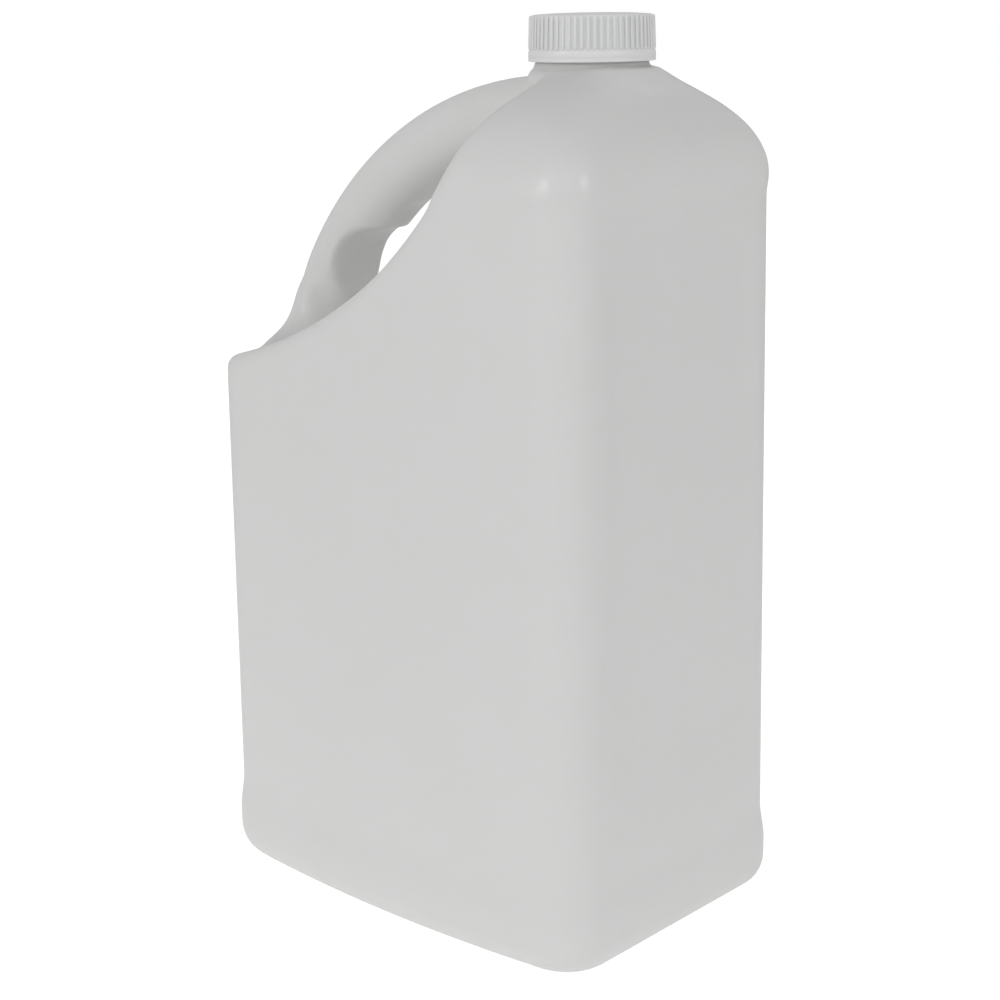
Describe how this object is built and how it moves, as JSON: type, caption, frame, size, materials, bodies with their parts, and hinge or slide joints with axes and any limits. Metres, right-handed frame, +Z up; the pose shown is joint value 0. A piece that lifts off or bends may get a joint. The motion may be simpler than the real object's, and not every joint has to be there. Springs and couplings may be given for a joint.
{
  "type": "slant handle jug",
  "caption": "Tall hollow oblong jug with a slanted back, an arched grip with finger scoops, an offset neck and a ribbed screw cap.",
  "frame": {"origin": "centre of the jug's box on the ground plane, under its base", "axes": "+Z up, +X towards the front narrow side under the neck, +Y across the jug to its own left"},
  "size_m": [0.1746, 0.1212, 0.297],
  "materials": {
    "jug_plastic": "satin, slightly translucent",
    "cap_plastic": "satin",
    "liner": "matt foam"
  },
  "bodies": {
    "jug": {"jug": "jug_plastic", "neck_finish": "jug_plastic"},
    "liner": {"cap_liner": "liner"},
    "cap": {"cap": "cap_plastic"}
  },
  "joints": [
    {"name": "cap_rise", "type": "slide", "parent": "jug", "child": "liner", "axis": [0, 0, 1], "range_m": [0, 0.01694]},
    {"name": "cap_turn", "type": "hinge", "parent": "liner", "child": "cap", "pos_m": [0.0483, 0, 0.2824], "axis": [0, 0, 1], "range_deg": [0, 1440]}
  ],
  "couplings": [
    {"joint": "cap_rise", "follows": "cap_turn", "m_per_rad": 0.0006737}
  ]
}
